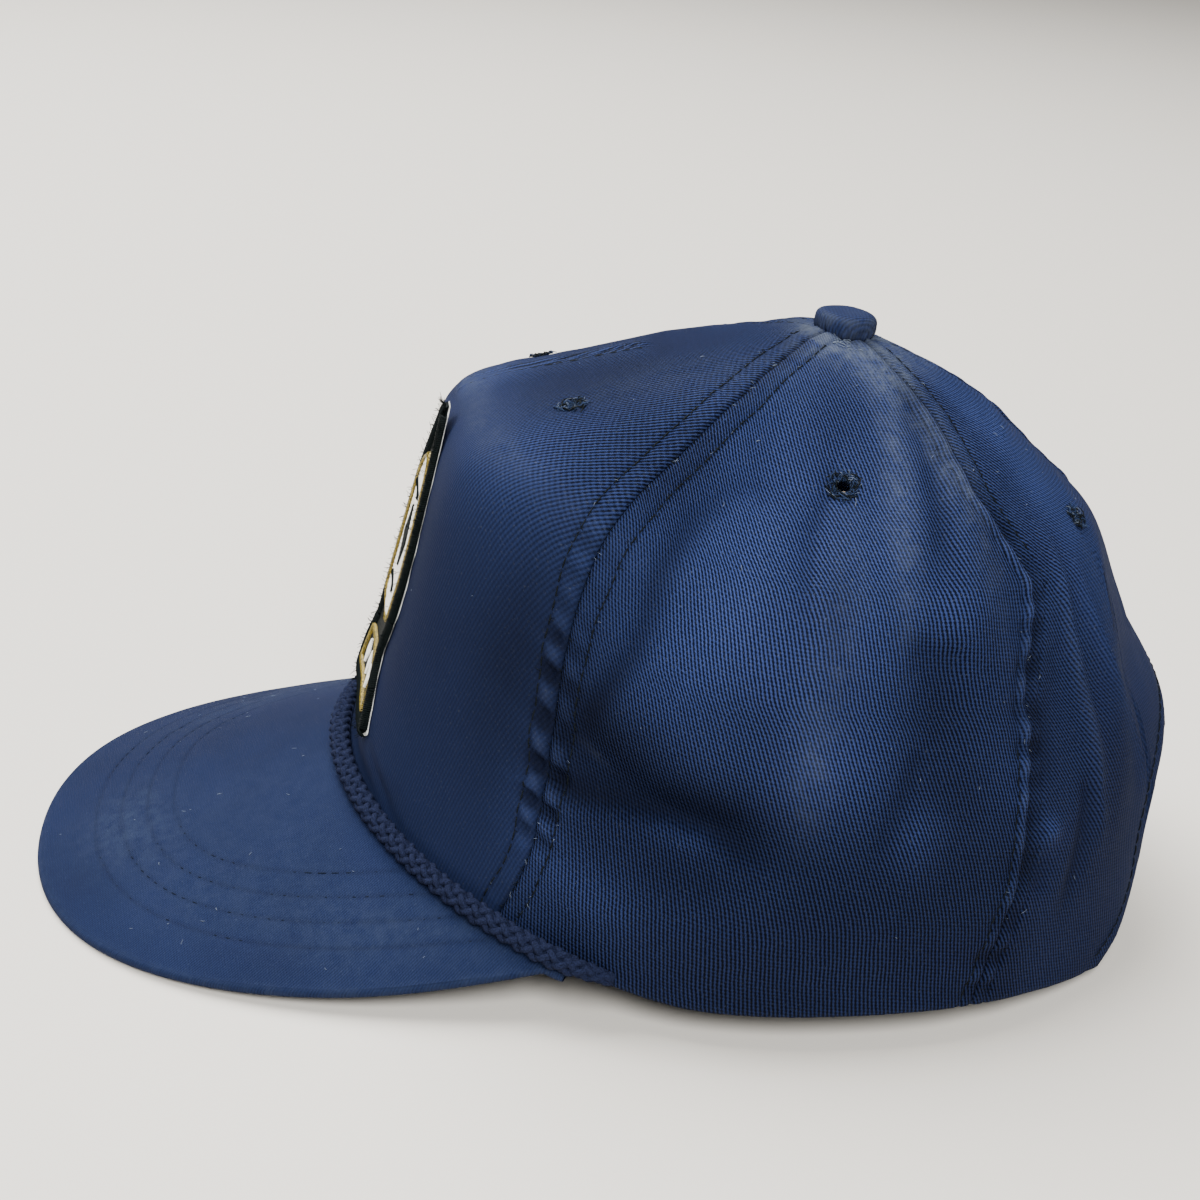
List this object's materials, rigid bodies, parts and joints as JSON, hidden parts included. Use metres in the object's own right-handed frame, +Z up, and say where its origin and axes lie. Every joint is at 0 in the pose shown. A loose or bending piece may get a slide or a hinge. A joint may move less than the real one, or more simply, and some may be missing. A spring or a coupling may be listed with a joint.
{
  "type": "rope cap",
  "caption": "Navy cotton cap with a stiff front panel, a curved brim, a braided rope on the brim seam and an adjusting strap at the back.",
  "frame": {"origin": "on the table, in the middle of the cap's length and width", "axes": "+Z up, the brim points along -Y, the wearer's left is +X"},
  "size_m": [0.17, 0.2618, 0.1369],
  "materials": {
    "crown_twill": "matte cotton twill",
    "brim_twill": "matte cotton twill, slightly faded",
    "button_twill": "matte cotton twill over a metal button",
    "rope_cord": "braided cotton cord",
    "patch_embroidery": "embroidered twill patch",
    "strap_webbing": "plain woven strap"
  },
  "bodies": {
    "root": {"front_panel": "crown_twill", "side_panel_left": "crown_twill", "side_panel_right": "crown_twill", "back_panel_left": "crown_twill", "back_panel_right": "crown_twill", "brim": "brim_twill", "rope": "rope_cord", "button": "button_twill", "patch": "patch_embroidery", "back_strap": "strap_webbing"}
  },
  "joints": []
}
